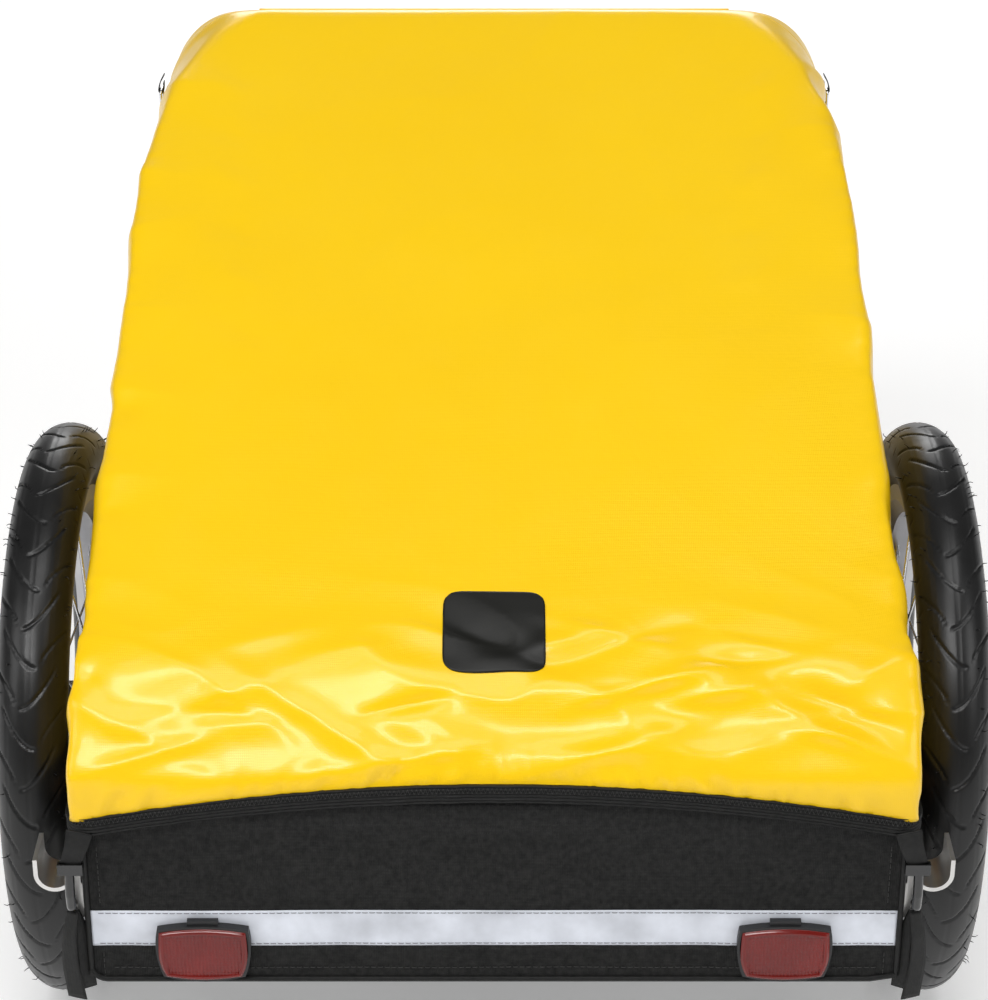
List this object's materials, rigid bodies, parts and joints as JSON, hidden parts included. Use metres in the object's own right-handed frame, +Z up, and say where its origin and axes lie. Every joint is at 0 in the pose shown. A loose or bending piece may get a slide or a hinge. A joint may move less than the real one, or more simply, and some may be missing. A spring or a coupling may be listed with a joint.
{
  "type": "child bicycle trailer",
  "caption": "Two-wheeled covered trailer with folding sides, hinged cover, quick-release wheels and a swinging tow bar.",
  "frame": {"origin": "on the ground, under the centre of the bounding box", "axes": "+Z up, +Y forward in the direction of travel, +X to the right"},
  "size_m": [0.6826, 1.377, 0.5883],
  "materials": {
    "aluminium": "satin extruded",
    "board": "sheet",
    "cloth_black": "coated polyester weave",
    "cloth_yellow": "coated cloth",
    "cover_yellow": "glossy coated cloth",
    "lens_red": "prismatic",
    "patch": "satin print",
    "plastic": "moulded",
    "plastic_gloss": "shiny moulded",
    "plastic_grey": "moulded",
    "reflective": "retroreflective tape",
    "rim": "anodised",
    "rubber": "moulded",
    "steel": "bright zinc",
    "tow_paint": "powder coat",
    "trim_black": "woven binding",
    "tyre": "moulded tread",
    "urethane": "moulded"
  },
  "bodies": {
    "frame": {"axle_receivers": "steel", "rails": "aluminium", "rail_brackets": "aluminium", "rail_plugs": "plastic_grey", "bracket_bolts": "steel", "hinge_pins": "steel", "hinge_lugs": "plastic", "front_cover": "cover_yellow", "front_trim": "trim_black", "front_panel": "cloth_black", "rear_panel": "cloth_black", "floor_tub": "cloth_black", "floor_board": "board", "reflective_strip": "reflective", "cross_tubes": "aluminium", "front_hoop": "aluminium", "hoop_feet": "plastic", "reflector_housings": "plastic", "reflector_lenses": "lens_red", "tow_receiver": "aluminium", "tow_pivot_bolt": "steel"},
    "cover_lid": {"cover": "cover_yellow", "cover_hem": "trim_black", "cover_patch": "patch", "rear_bow": "aluminium", "hem_straps": "trim_black", "hem_hooks": "plastic_gloss"},
    "tow_bar": {"tow_knuckle": "plastic", "tow_tube": "tow_paint", "hitch_fork": "aluminium"},
    "lock_plunger": {"lock_pin": "steel"},
    "hitch_joint": {"flex_coupler": "urethane"},
    "hitch": {"hitch_arm": "steel"},
    "hitch_retainer": {"hitch_pin": "steel"},
    "left_side": {"left_hinge_knuckles": "plastic", "left_side_frame": "aluminium", "left_side_cloth": "cloth_yellow", "left_bow_saddle": "plastic"},
    "left_wheel": {"left_tyre": "tyre", "left_inner_tube": "rubber", "left_rim": "rim", "left_hub": "plastic", "left_bearings": "steel", "left_spokes": "steel"},
    "left_stub_axle": {"left_axle": "steel"},
    "left_release": {"left_axle_button": "plastic"},
    "left_ring": {"left_d_ring": "steel"},
    "right_side": {"right_hinge_knuckles": "plastic", "right_side_frame": "aluminium", "right_side_cloth": "cloth_yellow", "right_bow_saddle": "plastic"},
    "right_wheel": {"right_tyre": "tyre", "right_inner_tube": "rubber", "right_rim": "rim", "right_hub": "plastic", "right_bearings": "steel", "right_spokes": "steel"},
    "right_stub_axle": {"right_axle": "steel"},
    "right_release": {"right_axle_button": "plastic"},
    "right_ring": {"right_d_ring": "steel"}
  },
  "joints": [
    {"name": "cover_open", "type": "hinge", "parent": "frame", "child": "cover_lid", "pos_m": [0, 0.0035, 0.58606], "axis": [-1, 0, 0], "range_deg": [0, 165]},
    {"name": "left_side_fold", "type": "hinge", "parent": "frame", "child": "left_side", "pos_m": [-0.248, -0.4265, 0.228], "axis": [0, 1, 0], "range_deg": [0, 90]},
    {"name": "left_wheel_release", "type": "slide", "parent": "frame", "child": "left_stub_axle", "axis": [-1, 0, 0], "range_m": [0, 0.09]},
    {"name": "left_wheel_spin", "type": "hinge", "parent": "left_stub_axle", "child": "left_wheel", "pos_m": [-0.304, -0.4265, 0.203], "axis": [1, 0, 0], "continuous": true},
    {"name": "left_release_press", "type": "slide", "parent": "left_stub_axle", "child": "left_release", "axis": [1, 0, 0], "range_m": [0, 0.0035], "stiffness_N_per_m": 400, "springref_m": -0.002},
    {"name": "left_ring_swing", "type": "hinge", "parent": "frame", "child": "left_ring", "pos_m": [-0.2677, 0.0095, 0.5175], "axis": [0, 1, 0], "range_deg": [0, 90]},
    {"name": "right_side_fold", "type": "hinge", "parent": "frame", "child": "right_side", "pos_m": [0.248, -0.4265, 0.228], "axis": [0, -1, 0], "range_deg": [0, 80]},
    {"name": "right_wheel_release", "type": "slide", "parent": "frame", "child": "right_stub_axle", "axis": [1, 0, 0], "range_m": [0, 0.09]},
    {"name": "right_wheel_spin", "type": "hinge", "parent": "right_stub_axle", "child": "right_wheel", "pos_m": [0.304, -0.4265, 0.203], "axis": [1, 0, 0], "continuous": true},
    {"name": "right_release_press", "type": "slide", "parent": "right_stub_axle", "child": "right_release", "axis": [-1, 0, 0], "range_m": [0, 0.0035], "stiffness_N_per_m": 400, "springref_m": -0.002},
    {"name": "right_ring_swing", "type": "hinge", "parent": "frame", "child": "right_ring", "pos_m": [0.2677, 0.0095, 0.5175], "axis": [0, -1, 0], "range_deg": [0, 90]},
    {"name": "tow_swing", "type": "hinge", "parent": "frame", "child": "tow_bar", "pos_m": [-0.253, 0.1985, 0.195], "axis": [0, 0, -1], "range_deg": [0, 65]},
    {"name": "lock_pull", "type": "slide", "parent": "frame", "child": "lock_plunger", "axis": [0, 0, 1], "range_m": [0, 0.011], "stiffness_N_per_m": 300, "springref_m": -0.003},
    {"name": "hitch_yaw", "type": "hinge", "parent": "tow_bar", "child": "hitch_joint", "pos_m": [-0.123, 0.6205, 0.285], "axis": [0, 0, 1], "range_deg": [-35, 35], "stiffness_Nm_per_rad": 20},
    {"name": "hitch_pitch", "type": "hinge", "parent": "hitch_joint", "child": "hitch", "pos_m": [-0.123, 0.6525, 0.285], "axis": [1, 0, 0], "range_deg": [-30, 30], "stiffness_Nm_per_rad": 20},
    {"name": "hitch_pin_pull", "type": "slide", "parent": "hitch", "child": "hitch_retainer", "axis": [0, 0, 1], "range_m": [0, 0.035]}
  ]
}
